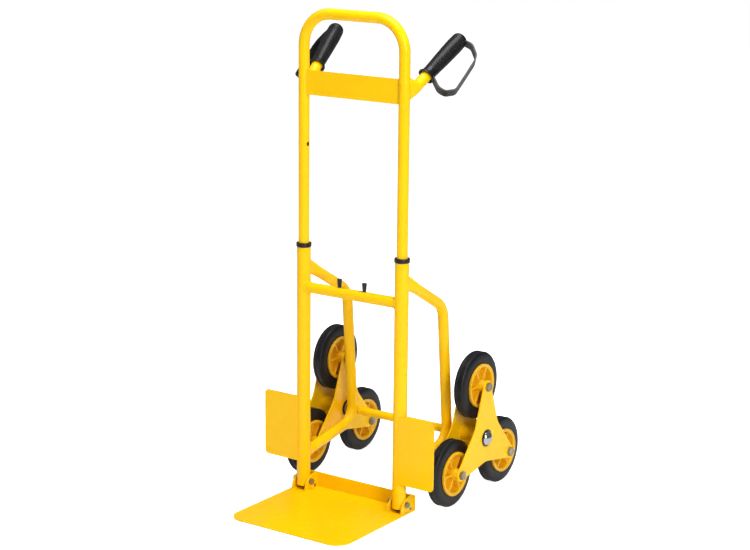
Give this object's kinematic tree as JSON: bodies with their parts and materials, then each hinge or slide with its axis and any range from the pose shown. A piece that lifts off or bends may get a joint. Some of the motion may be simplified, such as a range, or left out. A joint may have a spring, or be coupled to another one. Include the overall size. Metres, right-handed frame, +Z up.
{
  "type": "stair climbing trolley",
  "caption": "Yellow tubular stair climbing trolley with telescoping handle, folding toe plate, hand-guard grips and turning three-wheel clusters.",
  "frame": {"origin": "on the floor, midway between the two uprights, on the underside of the toe plate", "axes": "+Z up, -Y to the front where the toe plate lies, +Y to the back where the wheels are, +X to the right as seen from the front; left nodes are at -X"},
  "size_m": [0.4954, 0.6631, 1.136],
  "materials": {
    "yellow_paint": "semi-gloss powder coat",
    "zinc_steel": "zinc plated",
    "spring_steel": "bright drawn",
    "chrome": "polished",
    "black_plastic": "satin",
    "grip_plastic": "fine dotted grain",
    "tyre_rubber": "moulded rubber",
    "rim_plastic": "moulded, satin"
  },
  "bodies": {
    "frame": {"left_upright_tube": "yellow_paint", "right_upright_tube": "yellow_paint", "hinge_sleeves": "zinc_steel", "left_collar": "black_plastic", "right_collar": "black_plastic", "crossbar": "yellow_paint", "latch_spring": "spring_steel", "left_brace": "yellow_paint", "right_brace": "yellow_paint", "axle_bar": "yellow_paint", "left_wheel_guard": "yellow_paint", "right_wheel_guard": "yellow_paint", "hinge_bolts": "zinc_steel", "hinge_nuts": "zinc_steel", "axle_stop_rings": "zinc_steel", "axle_washers": "zinc_steel", "left_axle_cap": "chrome", "right_axle_cap": "chrome"},
    "handle_frame": {"inner_tube": "yellow_paint", "tube_glides": "black_plastic", "sign_plate": "yellow_paint", "left_handle_stub": "yellow_paint", "right_handle_stub": "yellow_paint", "left_grip": "grip_plastic", "right_grip": "grip_plastic"},
    "toe_plate": {"toe_plate": "yellow_paint", "left_hinge_bracket": "yellow_paint", "right_hinge_bracket": "yellow_paint", "stop_pins": "zinc_steel"},
    "left_latch": {"left_latch_pin": "spring_steel", "left_latch_knob": "black_plastic"},
    "left_cluster": {"left_cluster_outer_plate": "yellow_paint", "left_cluster_inner_plate": "yellow_paint", "left_cluster_hub_tube": "yellow_paint", "left_cluster_bushes": "black_plastic", "left_wheel_bolts": "zinc_steel", "left_wheel_nuts": "zinc_steel", "left_wheel_washers": "zinc_steel"},
    "left_top_wheel": {"left_top_tyre": "tyre_rubber", "left_top_rim": "rim_plastic"},
    "left_front_wheel": {"left_front_tyre": "tyre_rubber", "left_front_rim": "rim_plastic"},
    "left_rear_wheel": {"left_rear_tyre": "tyre_rubber", "left_rear_rim": "rim_plastic"},
    "right_latch": {"right_latch_pin": "spring_steel", "right_latch_knob": "black_plastic"},
    "right_cluster": {"right_cluster_outer_plate": "yellow_paint", "right_cluster_inner_plate": "yellow_paint", "right_cluster_hub_tube": "yellow_paint", "right_cluster_bushes": "black_plastic", "right_wheel_bolts": "zinc_steel", "right_wheel_nuts": "zinc_steel", "right_wheel_washers": "zinc_steel"},
    "right_top_wheel": {"right_top_tyre": "tyre_rubber", "right_top_rim": "rim_plastic"},
    "right_front_wheel": {"right_front_tyre": "tyre_rubber", "right_front_rim": "rim_plastic"},
    "right_rear_wheel": {"right_rear_tyre": "tyre_rubber", "right_rear_rim": "rim_plastic"}
  },
  "joints": [
    {"name": "handle_slide", "type": "slide", "parent": "frame", "child": "handle_frame", "axis": [0, 0, 1], "range_m": [-0.334, 0]},
    {"name": "toe_plate_fold", "type": "hinge", "parent": "frame", "child": "toe_plate", "pos_m": [0, 0, 0.0225], "axis": [-1, 0, 0], "range_deg": [0, 90]},
    {"name": "left_latch_slide", "type": "slide", "parent": "frame", "child": "left_latch", "axis": [1, 0, 0], "range_m": [-0.0035, 0.015], "stiffness_N_per_m": 800, "deforming": ["latch_spring"]},
    {"name": "right_latch_slide", "type": "slide", "parent": "frame", "child": "right_latch", "axis": [-1, 0, 0], "range_m": [-0.0035, 0.015], "stiffness_N_per_m": 800, "deforming": ["latch_spring"]},
    {"name": "left_cluster_turn", "type": "hinge", "parent": "frame", "child": "left_cluster", "pos_m": [-0.2015, 0.2167, 0.141], "axis": [1, 0, 0], "continuous": true},
    {"name": "left_top_wheel_spin", "type": "hinge", "parent": "left_cluster", "child": "left_top_wheel", "pos_m": [-0.2015, 0.2167, 0.265], "axis": [1, 0, 0], "continuous": true},
    {"name": "left_front_wheel_spin", "type": "hinge", "parent": "left_cluster", "child": "left_front_wheel", "pos_m": [-0.2015, 0.10931, 0.079], "axis": [1, 0, 0], "continuous": true},
    {"name": "left_rear_wheel_spin", "type": "hinge", "parent": "left_cluster", "child": "left_rear_wheel", "pos_m": [-0.2015, 0.32409, 0.079], "axis": [1, 0, 0], "continuous": true},
    {"name": "right_cluster_turn", "type": "hinge", "parent": "frame", "child": "right_cluster", "pos_m": [0.2015, 0.2167, 0.141], "axis": [1, 0, 0], "continuous": true},
    {"name": "right_top_wheel_spin", "type": "hinge", "parent": "right_cluster", "child": "right_top_wheel", "pos_m": [0.2015, 0.2167, 0.265], "axis": [1, 0, 0], "continuous": true},
    {"name": "right_front_wheel_spin", "type": "hinge", "parent": "right_cluster", "child": "right_front_wheel", "pos_m": [0.2015, 0.10931, 0.079], "axis": [1, 0, 0], "continuous": true},
    {"name": "right_rear_wheel_spin", "type": "hinge", "parent": "right_cluster", "child": "right_rear_wheel", "pos_m": [0.2015, 0.32409, 0.079], "axis": [1, 0, 0], "continuous": true}
  ]
}
